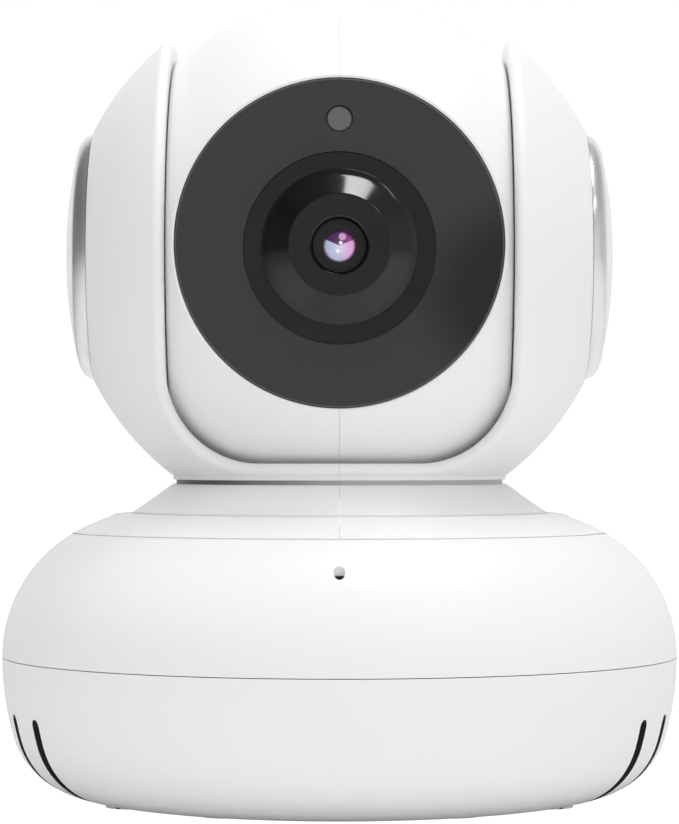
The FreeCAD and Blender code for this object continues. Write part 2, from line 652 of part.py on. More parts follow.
def yoke_whole():
    """Bowl, ears, neck and skirt before they are parted into two shells."""
    bowl = ball(YOKE_RADIUS).cut(ball(YOKE_INNER)).cut(slot_cutter())
    bowl = bowl.cut(box(-60, 60, -60, 60, 0, YOKE_CUT_Z))
    for side in (-1, 1):
        near, far = sorted((side * SLOT_HALF_WIDTH, side * (SLOT_HALF_WIDTH + EAR_WALL)))
        wall = box(near, far, -50, 50, YOKE_CUT_Z, HEAD_Z + 50).common(ball(YOKE_RADIUS - 0.4))
        bowl = bowl.fuse(wall)
    bowl = bowl.removeSplitter()
    bowl = bowl.makeFillet(LIP_ROUND, lip_edges(bowl))
    bowl = bowl.cut(box(EAR_FLAT, 60, -50, 50, 0, 150)).cut(box(-60, -EAR_FLAT, -50, 50, 0, 150))
    bowl = bowl.cut(across(CAP_SPIGOT + 0.05, EAR_FLAT - 3, 60)).cut(across(CAP_SPIGOT + 0.05, -60, 3 - EAR_FLAT))
    rims = [e for e in bowl.Edges if is_circle_at(e, EAR_FLAT, math.sqrt(YOKE_RADIUS ** 2 - EAR_FLAT ** 2))]
    bowl = bowl.makeFillet(0.6, rims)
    return bowl.fuse(neck_and_skirt()).removeSplitter()


def lip_edges(bowl):
    """Edges where the slot meets the outside of the bowl."""
    found = []
    centre = Vec(0, 0, HEAD_Z)
    for edge in bowl.Edges:
        first, last = edge.ParameterRange
        points = [edge.valueAt(first + (last - first) * t) for t in (0.1, 0.5, 0.9)]
        outside = all(abs((p - centre).Length - YOKE_RADIUS) < 1e-3 for p in points)
        if outside and all(abs(p.x) < SLOT_HALF_WIDTH + 0.01 and p.z > YOKE_CUT_Z + 0.5 for p in points):
            found.append(edge)
    return found


def is_circle_at(edge, x, radius):
    """Whether an edge lies on the circle of that radius about the tilt axis, in either plane x = +-x."""
    first, last = edge.ParameterRange
    for t in (0.2, 0.6):
        p = edge.valueAt(first + (last - first) * t)
        if abs(abs(p.x) - x) > 1e-3 or abs(math.hypot(p.y, p.z - HEAD_Z) - radius) > 1e-2:
            return False
    return True


def yoke_shells():
    whole = yoke_whole()
    lug = box(0.1, 1.6, -37.6, -35.8, DECK_Z + 1.1, 44.4)
    bosses = [upright(2.6, FLOOR_Z, 48.0, x, y) for x, y in GEAR_SCREWS]
    whole = fuse([whole] + bosses + [lug])
    for x, y in GEAR_SCREWS:
        whole = whole.cut(upright(0.95, FLOOR_Z - 1, 47.2, x, y))
    whole = whole.cut(across(4.55, -40, -20)).cut(across(9.0, 20, 40))
    for angle in HUB_SCREW_ANGLES:
        y, z = polar(7.2, angle)
        whole = whole.cut(across(0.9, -40, -20, y, z))
    left, right = halves(whole)
    tongue_ring = tube(24.9, 23.9, FLOOR_Z + 2.4, YOKE_CUT_Z - 1.4).common(box(-1.5, 1.2, -30, 30, 0, 60))
    left = left.cut(tongue_ring.common(box(-0.1, 5, -30, 30, 0, 60)))
    return left, right


GEAR_SCREWS = [(sx * 12.7, sy * 12.7) for sx in (-1, 1) for sy in (-1, 1)]
RETAINER_SCREWS = [
    (10.05 * math.cos(math.radians(angle)), 10.05 * math.sin(math.radians(angle))) for angle in (0, 120, 240)
]
HUB_SCREW_ANGLES = (90, 210, 330)


def polar(radius, degrees):
    """y and z of a point round the tilt axis."""
    a = math.radians(degrees)
    return radius * math.cos(a), HEAD_Z + radius * math.sin(a)


def dome_arc(sphere, r_from, r_to):
    """An arc of the side cap's dome, between two distances from the tilt axis, as a step of an outline."""
    on_dome = lambda r: Vec(CAP_CENTRE_X + math.sqrt(sphere ** 2 - r ** 2), 0, r)
    return on_dome((r_from + r_to) / 2), on_dome(r_to)


def side_cap():
    """Domed cover over the right ear, with the spigot that snaps into it."""
    cap = turned_x(outline(
        Vec(EAR_FLAT + 0.05, 0, CAP_RADIUS - 0.4),
        Vec(EAR_FLAT + 0.15, 0, CAP_RADIUS - 0.4),
        Vec(EAR_FLAT + 0.15, 0, CAP_RADIUS - 0.1),
        Vec(EAR_FLAT + 0.25, 0, CAP_RADIUS),
        on_arc(FLANK_X, FLANK_R, CAP_FLANK, 72),
        (
            on_arc(FLANK_X, FLANK_R, CAP_FLANK, (72 + CAP_LEAN) / 2),
            on_arc(FLANK_X, FLANK_R, CAP_FLANK, CAP_LEAN),
        ),
        dome_arc(CAP_SPHERE, CAP_SHOULDER, 0),
        Vec(CAP_APEX - 1.5, 0, 0),
        dome_arc(CAP_SPHERE - 1.5, 0, 14.0),
        Vec(EAR_FLAT - 1.9, 0, 14.0),
        Vec(EAR_FLAT - 1.9, 0, CAP_SPIGOT),
        Vec(EAR_FLAT + 0.05, 0, CAP_SPIGOT),
    ))
    for angle in range(0, 360, 90):
        y, z = polar(14.7, angle + 45)
        cap = cap.cut(box(EAR_FLAT - 2.5, EAR_FLAT - 0.1, y - 1, y + 1, z - 1, z + 1))
    return cap


def pan_gear():
    """Large gear under the yoke's floor, with the hollow hub that turns in the bush."""
    wheel = gear(GEAR_TEETH, GEAR_THICK, GEAR_LOW, -90)
    hub = upright(HUB_RADIUS, HUB_LOW, GEAR_LOW + 1)
    part = wheel.fuse(hub).cut(upright(CABLE_HOLE, 20, 50))
    for x, y in GEAR_SCREWS:
        part = part.cut(upright(2.3, GEAR_LOW - 1, GEAR_LOW + 1.5, x, y)).cut(upright(1.2, 30, 50, x, y))
    for x, y in RETAINER_SCREWS:
        part = part.cut(upright(0.7, 29, HUB_LOW + 4.4, x, y))
    return part.removeSplitter()


def pan_gear_screws():
    return Part.makeCompound([
        screw(0.95, 5.2, 2.0, 1.2, Vec(x, y, GEAR_LOW + 1.5 + 5.2), Vec(0, 0, -1)) for x, y in GEAR_SCREWS
    ])


def pan_retainer():
    """Washer screwed to the hub's end, which keeps the yoke from lifting off the base."""
    washer = tube(15.2, CABLE_HOLE, HUB_LOW - 1.4, HUB_LOW)
    for x, y in RETAINER_SCREWS:
        washer = washer.cut(upright(0.8, HUB_LOW - 2, HUB_LOW + 1, x, y))
    return washer


def pan_retainer_screws():
    tip = HUB_LOW + 3.6
    return Part.makeCompound([
        screw(0.68, 5.0, 1.35, 0.9, Vec(x, y, tip), Vec(0, 0, -1)) for x, y in RETAINER_SCREWS
    ])


def tilt_drive_hub():
    """Flanged hub in the left ear. The tilt motor's flatted shaft is held in it."""
    outer = -(SLOT_HALF_WIDTH + EAR_WALL)
    hub = across(9.6, outer - 1.8, outer).fuse(across(4.5, outer, -SLOT_HALF_WIDTH + 0.1))
    hub = hub.cut(tilt_shaft())
    hub = hub.cut(across(1.3, outer - 3, outer))
    for angle in HUB_SCREW_ANGLES:
        y, z = polar(7.2, angle)
        hub = hub.cut(across(1.1, outer - 3, outer + 1, y, z))
    return hub.removeSplitter()


def drive_hub_screws():
    outer = -(SLOT_HALF_WIDTH + EAR_WALL)
    screws = []
    for angle in HUB_SCREW_ANGLES:
        y, z = polar(7.2, angle)
        screws.append(screw(0.88, 3.2, 1.9, 1.1, Vec(outer + 1.4, y, z), Vec(-1, 0, 0)))
    return Part.makeCompound(screws)


def tilt_shaft():
    """Output shaft of the tilt motor. It stays with the yoke while the motor turns round it."""
    shaft = d_shaft(SHAFT_RADIUS, -10.0, 15.6)
    shaft.transformShape(tilt_place())
    return shaft


def tilt_place():
    """From the motor's own frame to the head: its shaft along -X, its can's offset along +Y."""
    rotation = FreeCAD.Rotation(Vec(0, 1, 0), Vec(0, 0, 1), Vec(-1, 0, 0), "ZXY")
    return FreeCAD.Placement(Vec(-HEAD_HALF_WIDTH + HEAD_WALL, 0, HEAD_Z), rotation).toMatrix()


def sector(r_in, r_out, x0, x1, low_angle, high_angle):
    """A ring segment about the tilt axis, between two angles measured from the back (+Y) upwards."""
    ring = across(r_out, x0, x1).cut(across(r_in, x0 - 1, x1 + 1))
    reach = 2 * r_out
    wedge = [Vec(x0, 0, HEAD_Z)]
    for step in range(4):
        a = math.radians(low_angle + (high_angle - low_angle) * step / 3)
        wedge.append(Vec(x0, reach * math.cos(a), HEAD_Z + reach * math.sin(a)))
    wedge.append(wedge[0])
    return ring.common(Part.Face(Part.makePolygon(wedge)).extrude(X_AXIS * (x1 - x0)))


def tilt_bush():
    """Flanged bush in the right ear, round the head's hollow trunnion, with the two stops of the tilt."""
    inner = SLOT_HALF_WIDTH
    outer = inner + EAR_WALL
    bush = across(8.95, inner + 0.1, outer).fuse(across(11.2, outer, outer + 1.0))
    up_stop = 270 - TILT_UP - STOP_TAB_ANGLE / 2 - STOP_CLEARANCE
    down_stop = 270 + TILT_DOWN + STOP_TAB_ANGLE / 2 + STOP_CLEARANCE
    for low in (up_stop - STOP_WIDTH, down_stop):
        bush = bush.fuse(sector(9.4, 11.2, outer + 0.5, outer + 2.5, low, low + STOP_WIDTH))
    return bush.cut(across(7.0 + RUN_GAP, inner - 1, outer + 3)).removeSplitter()


# ---- head: tilts in the yoke -----------------------------------------------------------------------------
def head_body(inset):
    """The head's outline turned about the tilt axis, moved in by `inset`."""
    radius = HEAD_RADIUS - inset
    half = HEAD_HALF_WIDTH - inset
    edge = HEAD_EDGE - min(inset, HEAD_EDGE - 0.5)
    centre_x = half - edge
    centre_r = math.sqrt((radius - edge) ** 2 - centre_x ** 2)
    lean = math.atan2(centre_r, centre_x)
    on_ball = Vec(radius * math.cos(lean), 0, radius * math.sin(lean))
    middle = Vec(centre_x + edge * math.cos(lean / 2), 0, centre_r + edge * math.sin(lean / 2))
    flip = lambda p: Vec(-p.x, 0, p.z)
    side = Vec(half, 0, centre_r)
    return turned_x(outline(
        Vec(half, 0, 0),
        side,
        (middle, on_ball),
        (Vec(0, 0, radius), flip(on_ball)),
        (flip(middle), flip(side)),
        Vec(-half, 0, 0),
    ))


def head_shells():
    """Left and right shells of the head, with bosses, the window's seat and the right trunnion."""
    outer = head_body(0)
    shell = outer.cut(head_body(HEAD_WALL))
    seat = WINDOW_FACE - WINDOW_THICK
    flange = ahead(27.5, seat, seat - 1.9, 0, HEAD_Z).common(outer)
    posts = []
    for y, z in HEAD_SCREWS:
        posts.append(across(3.1, -HEAD_HALF_WIDTH + 0.5, HEAD_HALF_WIDTH - 0.5, y, z))
    motor_bosses = []
    for y in (MOTOR_OFFSET - MOTOR_EAR, MOTOR_OFFSET + MOTOR_EAR):
        motor_bosses.append(across(2.2, -HEAD_HALF_WIDTH + 0.5, -HEAD_HALF_WIDTH + HEAD_WALL, y))
    trunnion = across(7.0, HEAD_HALF_WIDTH - 1, 31.6)
    rails = []
    for side in (-1, 1):
        near, far = sorted((side * 18.6, side * (HEAD_HALF_WIDTH - 1)))
        for low in (5.0, -13.0):
            rail = box(near, far, -BOARD_FACE - 1.2, -BOARD_FACE + 2.6, HEAD_Z + low, HEAD_Z + low + 8)
            rails.append(rail.cut(box(-20.1, 20.1, -BOARD_FACE - 0.05, -BOARD_FACE + 1.45, 0, 150)))
    shell = fuse([shell, flange, trunnion] + posts + motor_bosses + rails)
    shell = shell.cut(box(-40, 40, -60, -(WINDOW_FACE - 0.3), 0, 150))
    shell = shell.cut(ahead(WINDOW_RADIUS + 0.1, WINDOW_FACE + 1, seat, 0, HEAD_Z))
    shell = shell.cut(ahead(22.5, seat + 1, seat - 3, 0, HEAD_Z))
    shell = shell.cut(across(5.0, 20, 40))
    groove = across(7.5, 30.0, 30.9).cut(across(6.3, 30.0, 30.9))
    shell = shell.cut(groove.cut(box(29, 32, -2.3, 2.3, HEAD_Z, HEAD_Z + 10)))
    shell = shell.cut(across(4.6, -30, -20))
    for y in (MOTOR_OFFSET - MOTOR_EAR, MOTOR_OFFSET + MOTOR_EAR):
        shell = shell.cut(across(1.0, -HEAD_HALF_WIDTH + 0.6, -20, y))
    for y, z in HEAD_SCREWS:
        shell = shell.cut(across(2.5, -30, -24.4, y, z)).cut(across(1.4, -30, 0, y, z))
        shell = shell.cut(across(1.0, 0, 12, y, z))
    left, right = halves(shell)
    inner = head_body(HEAD_WALL).cut(head_body(HEAD_WALL + 1.2))
    band = inner.common(box(-2.0, 1.4, -(seat - 3), 60, 0, 150))
    band = band.cut(box(SPLIT_GAP / 2, 5, -60, 60, 0, 150).cut(head_body(HEAD_WALL + 0.15)))
    for y, z in HEAD_SCREWS:
        band = band.cut(across(3.6, -5, 5, y, z))
    left = left.fuse(band).removeSplitter()
    return left, right


HEAD_SCREWS = [(sy * 19.5, HEAD_Z + sz * 19.5) for sy in (-1, 1) for sz in (-1, 1)]


def head_screws():
    return Part.makeCompound([
        screw(1.0, 32.0, 2.3, 1.5, Vec(7.5, y, z), Vec(-1, 0, 0)) for y, z in HEAD_SCREWS
    ])


def front_window():
    """Dark window: a bevelled disc, bored for the lens bezel and the light sensor."""
    disc = ahead(WINDOW_RADIUS, WINDOW_FACE - 0.35, WINDOW_FACE - WINDOW_THICK, 0, HEAD_Z)
    disc = disc.fuse(cone_ahead(WINDOW_RADIUS - 0.27, WINDOW_RADIUS, WINDOW_FACE, WINDOW_FACE - 0.35, HEAD_Z))
    disc = disc.cut(ahead(BEZEL_RADIUS + 0.1, 50, 20))
    return disc.cut(ahead(SENSOR_RADIUS + 0.3, 50, 20, 0, HEAD_Z + SENSOR_HEIGHT))


def sensor_window():
    pipe = ahead(SENSOR_RADIUS, WINDOW_FACE - 0.1, WINDOW_FACE - WINDOW_THICK, 0, HEAD_Z + SENSOR_HEIGHT)
    return pipe.fuse(ahead(SENSOR_RADIUS + 0.25, WINDOW_FACE - 1.4, WINDOW_FACE - WINDOW_THICK, 0,
                           HEAD_Z + SENSOR_HEIGHT)).removeSplitter()


def light_sensor():
    return ahead(1.5, WINDOW_FACE - WINDOW_THICK - 0.2, IR_BOARD_FRONT, 0, HEAD_Z + SENSOR_HEIGHT)


IR_BOARD_FRONT = 29.3
IR_LED_ANGLES = [22.5 + 45 * k for k in range(8)]
FLANGE_FRONT = 30.7
RING_FRONT = 32.5
BOARD_FACE = 10.2          # front of the main board, before the tilt axis


def lens_bezel():
    """Black bezel: a flat ring inside the window, and the snout that stands in it on a short collar."""
    rear = FLANGE_FRONT - 1.2
    body = ahead(BEZEL_RADIUS, RING_FRONT, rear).fuse(ahead(17.0, FLANGE_FRONT, rear))
    lean = math.degrees(SNOUT_LEAN)
    end = math.degrees(FLARE_END)
    snout = turned(outline(
        Vec(0, 0, RING_FRONT - 1),
        Vec(SNOUT_BASE, 0, RING_FRONT - 1),
        on_arc(FLARE_R, FLARE_Y, FLARE_ARC, 270 - end),
        (
            on_arc(FLARE_R, FLARE_Y, FLARE_ARC, 270 - (end + lean) / 2),
            on_arc(FLARE_R, FLARE_Y, FLARE_ARC, 270 - lean),
        ),
        Vec(SNOUT_TIP, 0, SNOUT_FRONT),
        Vec(0, 0, SNOUT_FRONT),
    ))
    snout.rotate(ORIGIN, X_AXIS, 90)
    snout.translate(Vec(0, 0, LENS_Z))
    snout = snout.makeFillet(0.35, rings_at(snout, SNOUT_FRONT))
    snout = snout.makeFillet(0.12, rings_at(snout, FLARE_RIM_Y))
    body = body.fuse(snout)
    body = body.cut(cone_ahead(6.6, 11.4, SNOUT_FRONT - 1.6, rear - 0.2))
    body = body.cut(ahead(SNOUT_HOLE, SNOUT_FRONT + 1, rear)).removeSplitter()
    mouth = [e for e in body.Edges if abs(e.BoundBox.YMax + SNOUT_FRONT) < 1e-6 and e.BoundBox.XMax < 5]
    return body.makeChamfer(0.25, mouth)


def rings_at(shape, distance):
    """The edges that lie in the plane so far in front of the tilt axis."""
    return [e for e in shape.Edges if abs(e.BoundBox.YMax + distance) < 1e-5 and e.BoundBox.YLength < 1e-5]


def lens_barrel():
    """Threaded lens barrel. A narrow front lip holds the glass."""
    barrel = ahead(4.0, 36.9, 35.0).fuse(ahead(6.3, 35.0, 31.6)).fuse(ahead(5.95, 31.6, 20.6))
    barrel = barrel.cut(ahead(2.45, 37, 36)).cut(ahead(3.4, 36.2, 19))
    for groove in range(5):
        start = 30.2 - groove * 1.5
        barrel = barrel.cut(ahead(6.5, start, start - 0.5).cut(ahead(5.6, start, start - 0.5)))
    return barrel.removeSplitter()


def lens_element(front, rear, radius, bulge):
    """A glass element convex to the front, flat behind."""
    face_radius = (radius ** 2 + bulge ** 2) / (2 * bulge)
    glass = ahead(radius, front, rear)
    dome = Part.makeSphere(face_radius, Vec(0, -(front - face_radius), LENS_Z))
    return glass.common(dome)


def ir_led_board():
    ring = ahead(22.2, IR_BOARD_FRONT, IR_BOARD_FRONT - 1.0, 0, HEAD_Z)
    ring = ring.cut(ahead(12.2, IR_BOARD_FRONT + 1, IR_BOARD_FRONT - 2))
    return ring


def ir_leds():
    leds = []
    for angle in IR_LED_ANGLES:
        x = 19.4 * math.cos(math.radians(angle))
        z = HEAD_Z + 19.4 * math.sin(math.radians(angle))
        base = ahead(1.5, IR_BOARD_FRONT + 0.4, IR_BOARD_FRONT, x, z)
        dome = Part.makeSphere(1.25, Vec(x, -(IR_BOARD_FRONT + 0.1), z))
        dome = dome.common(ahead(1.6, IR_BOARD_FRONT + 1.4, IR_BOARD_FRONT, x, z))
        leds.append(base.fuse(dome).removeSplitter())
    return Part.makeCompound(leds)


def lens_holder():
    """Mount that the lens screws into, with the track of the day-and-night filter behind it."""
    neck = ahead(8.0, 28.6, 20.0)
    case = box(-12.8, 12.8, -20.0, -14.4, LENS_Z - 6.6, LENS_Z + 6.6)
    body = neck.fuse(case)
    body = body.cut(ahead(6.0, 29, 20.0)).cut(ahead(4.0, 21, 14))
    body = body.cut(box(-11.8, 11.8, -19.0, -17.2, LENS_Z - 4.3, LENS_Z + 4.3))
    return body.cut(box(-5, 5, -17.3, -14, LENS_Z - 5, LENS_Z + 5)).removeSplitter()


def filter_coil():
    """Electromagnet that throws the filter from side to side."""
    coil = across(2.3, 2.5, 9.5, -17.2, LENS_Z - 9.1)
    pole_plate = box(2.0, 10.0, -18.0, -14.4, LENS_Z - 7.0, LENS_Z - 6.6)
    return coil.fuse(pole_plate).removeSplitter()


def image_sensor():
    return box(-3.4, 3.4, -15.3, -14.4, LENS_Z - 3.4, LENS_Z + 3.4)


def sensor_board():
    board = box(-17, 17, -14.4, -13.2, LENS_Z - 15, LENS_Z + 15)
    for x, z in SPACER_PLACES:
        board = board.cut(ahead(1.1, 15, 13, x, z))
    return board


SPACER_PLACES = [(sx * 14.5, LENS_Z + sz * 12.5) for sx in (-1, 1) for sz in (-1, 1)]


def board_spacers():
    return Part.makeCompound([
        ahead(2.0, 13.2, BOARD_FACE, x, z).cut(ahead(1.0, 14, 10, x, z)) for x, z in SPACER_PLACES
    ])


def main_board():
    """Main board with the connector for the leads from the base."""
    board = box(-20, 20, -BOARD_FACE, -8.8, LENS_Z - 16, LENS_Z + 16)
    board = board.fuse(box(-4, 6, -8.8, -4.0, LENS_Z - 14, LENS_Z - 9))
    for x, z in SPACER_PLACES:
        board = board.cut(ahead(1.1, 11, 8, x, z))
    return board.removeSplitter()


def board_screws():
    return Part.makeCompound([
        screw(0.92, 5.6, 1.9, 1.1, Vec(x, -14.4, z), Vec(0, 1, 0)) for x, z in SPACER_PLACES
    ])


def main_chip():
    return box(-6, 6, -8.8, -7.5, LENS_Z - 6, LENS_Z + 6)


def tilt_motor_screws():
    screws = []
    for y in (MOTOR_OFFSET - MOTOR_EAR, MOTOR_OFFSET + MOTOR_EAR):
        screws.append(screw(0.95, 2.0, 2.2, 1.2, Vec(-HEAD_HALF_WIDTH + 0.8, y, HEAD_Z), X_AXIS))
    return Part.makeCompound(screws)


def tilt_retaining_ring():
    """Snap ring keyed into the trunnion's groove, outside the bush. Its tab meets the bush's two stops."""
    ring = across(9.0, 30.05, 30.85).cut(across(6.35, 30, 31))
    ring = ring.cut(box(29, 32, -2.5, 2.5, HEAD_Z, HEAD_Z + 10))
    tab = sector(8.5, 10.8, 30.05, 30.85, 270 - STOP_TAB_ANGLE / 2, 270 + STOP_TAB_ANGLE / 2)
    return ring.fuse(tab).removeSplitter()


# ---- filter slide: the day-and-night filter changer ----------------------------------------------------
FILTER_STEP = 7.2


def filter_frame():
    """Carrier with two glasses side by side: one blocks infrared by day, the clear one is for the night."""
    frame = box(-4.2, 4.0 + FILTER_STEP, -18.8, -17.4, LENS_Z - 4.1, LENS_Z + 4.1)
    for x in (0, FILTER_STEP):
        frame = frame.cut(box(x - 3.2, x + 3.2, -19, -17.8, LENS_Z - 3.2, LENS_Z + 3.2))
        frame = frame.cut(ahead(2.8, 19, 17, x))
    return frame


def filter_glass(x):
    return box(x - 3.15, x + 3.15, -18.5, -17.8, LENS_Z - 3.15, LENS_Z + 3.15)


# ---- all nodes -----------------------------------------------------------------------------------------
def make_all():
    pan_can, pan_cover = motor(pan_place())
    tilt_can, tilt_cover = motor(tilt_place())
    yoke_left, yoke_right = yoke_shells()
    head_left, head_right = head_shells()
    cap = side_cap()
    return {
        "base_lower_shell": base_lower_shell(),
        "base_upper_shell": base_upper_shell(),
        "rubber_feet": rubber_feet(),
        "tripod_insert": tripod_insert(),
        "base_screws": base_screws(),
        "base_board": base_board(),
        "base_board_screws": base_board_screws(),
        "power_socket": power_socket(),
        "card_socket": card_socket(),
        "reset_switch": reset_switch(),
        "speaker_frame": speaker_frame(),
        "speaker_magnet": speaker_magnet(),
        "speaker_cone": speaker_cone(),
        "microphone_boot": microphone_boot(),
        "microphone_capsule": microphone_capsule(),
        "pan_motor_can": pan_can,
        "pan_motor_lead_cover": pan_cover,
        "pan_motor_screws": pan_motor_screws(),
        "pan_bush": pan_bush(),
        "pan_motor_shaft": pan_motor_shaft(),
        "pan_pinion": pan_pinion(),
        "reset_button": reset_button(),
        "yoke_left_shell": yoke_left,
        "yoke_right_shell": yoke_right,
        "right_side_cap": cap,
        "left_side_cap": mirrored_x(cap),
        "pan_gear": pan_gear(),
        "pan_gear_screws": pan_gear_screws(),
        "pan_retainer": pan_retainer(),
        "pan_retainer_screws": pan_retainer_screws(),
        "tilt_drive_hub": tilt_drive_hub(),
        "drive_hub_screws": drive_hub_screws(),
        "tilt_shaft": tilt_shaft(),
        "tilt_bush": tilt_bush(),
        "head_left_shell": head_left,
        "head_right_shell": head_right,
        "head_screws": head_screws(),
        "front_window": front_window(),
        "sensor_window": sensor_window(),
        "light_sensor": light_sensor(),
        "lens_bezel": lens_bezel(),
        "lens_barrel": lens_barrel(),
        "front_lens": lens_element(36.6, 34.6, 3.35, 0.8),
        "rear_lens": lens_element(24.6, 23.2, 3.35, 0.6),
        "ir_led_board": ir_led_board(),
        "ir_leds": ir_leds(),
        "lens_holder": lens_holder(),
        "filter_coil": filter_coil(),
        "image_sensor": image_sensor(),
        "sensor_board": sensor_board(),
        "board_spacers": board_spacers(),
        "main_board": main_board(),
        "main_chip": main_chip(),
        "board_screws": board_screws(),
        "tilt_motor_can": tilt_can,
        "tilt_motor_lead_cover": tilt_cover,
        "tilt_motor_screws": tilt_motor_screws(),
        "tilt_retaining_ring": tilt_retaining_ring(),
        "filter_frame": filter_frame(),
        "filter_glasses": Part.makeCompound([filter_glass(0), filter_glass(FILTER_STEP)]),
    }


def main():
    os.makedirs("parts", exist_ok=True)
    for name, shape in make_all().items():
        shape = solids_of(shape)
        valid = shape.isValid() and all(s.isValid() and s.Volume > 0 for s in shape.Solids)
        print(f"{name:24s} solids {len(shape.Solids)}  volume {shape.Volume:9.2f}  valid {valid}")
        shape.exportStep(f"parts/{name}.step")


main()
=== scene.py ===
"""Looks of the baby monitor camera: a material for every piece, the studio round it and the camera."""

import json
import math

import bpy
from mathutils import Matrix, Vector

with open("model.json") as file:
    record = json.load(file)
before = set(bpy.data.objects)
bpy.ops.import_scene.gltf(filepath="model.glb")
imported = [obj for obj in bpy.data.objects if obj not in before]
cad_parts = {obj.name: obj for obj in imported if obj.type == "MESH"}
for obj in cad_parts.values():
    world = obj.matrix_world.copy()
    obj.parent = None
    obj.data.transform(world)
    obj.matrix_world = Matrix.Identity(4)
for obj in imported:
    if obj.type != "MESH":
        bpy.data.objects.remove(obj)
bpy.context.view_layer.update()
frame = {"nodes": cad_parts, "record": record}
nodes = frame["nodes"]

MM = 0.001

# ---- places on the object, in millimetres ---------------------------------------------------------
TILT_Z = 88.0                  # height of the tilt axis
LENS_Z = 87.2                  # height of the lens axis
WINDOW_EDGE = 25.0             # the dark window's bevel starts this far out from the tilt axis's middle
BASE_CORNER = (13.2, 40.53, 13.9)     # the base's bottom corner in section: radius, centre out, centre up
BASE_SIDE = (46.5, 8.5, 23.0)         # the base's side in section
MIC_Y = -49.2                  # the microphone hole runs straight down here
MIC_RADIUS = 0.90              # a little over the hole's radius
GROOVE_Z = 51.2                # middle of the groove round the neck
CAP_CENTRE_X = -31.250         # middle of the side cap's dome, on the tilt axis
CAP_SHOULDER = 17.9            # the dome ends and the rounded flank starts this far from that axis
FLANK_X = 39.491               # middle of the flank's rounding: along the axis
FLANK_R = 17.192               # and out from it


class Nodes:
    """Adds shader nodes to a node tree. A value may be a number or another node's output."""

    def __init__(self, tree):
        self.tree = tree

    def node(self, kind, settings=(), **inputs):
        """A new node. Its inputs are given by name, or by number as i0, i1 and so on."""
        made = self.tree.nodes.new(kind)
        for key, value in dict(settings).items():
            setattr(made, key, value)
        for key, value in inputs.items():
            numbered = key[0] == "i" and key[1:].isdigit()
            self.feed(made.inputs[int(key[1:])] if numbered else made.inputs[key], value)
        return made

    def feed(self, socket, value):
        if isinstance(value, bpy.types.NodeSocket):
            self.tree.links.new(value, socket)
        else:
            socket.default_value = value

    def math(self, operation, a, b=0.0):
        return self.node("ShaderNodeMath", {"operation": operation}, i0=a, i1=b).outputs[0]

    def vector(self, operation, *inputs, out=0):
        numbered = {f"i{number}": value for number, value in enumerate(inputs)}
        return self.node("ShaderNodeVectorMath", {"operation": operation}, **numbered).outputs[out]

    def plus(self, a, b):
        return self.math("ADD", a, b)

    def minus(self, a, b):
        return self.math("SUBTRACT", a, b)

    def times(self, first, *others):
        for other in others:
            first = self.math("MULTIPLY", first, other)
        return first

    def absolute(self, value):
        return self.math("ABSOLUTE", value)

    def far(self, a, b):
        """The length of (a, b)."""
        return self.math("SQRT", self.plus(self.times(a, a), self.times(b, b)))

    def span(self, value, low, high, to_low=0.0, to_high=1.0):
        """Runs straight from `to_low` at `low` to `to_high` at `high`, and stays level beyond them."""
        made = self.node("ShaderNodeMapRange", Value=value)
        for key, number in (("From Min", low), ("From Max", high), ("To Min", to_low), ("To Max", to_high)):
            made.inputs[key].default_value = number
        return made.outputs[0]

    def mix(self, factor, a, b):
        return self.node("ShaderNodeMix", i0=factor, i2=a, i3=b).outputs[0]


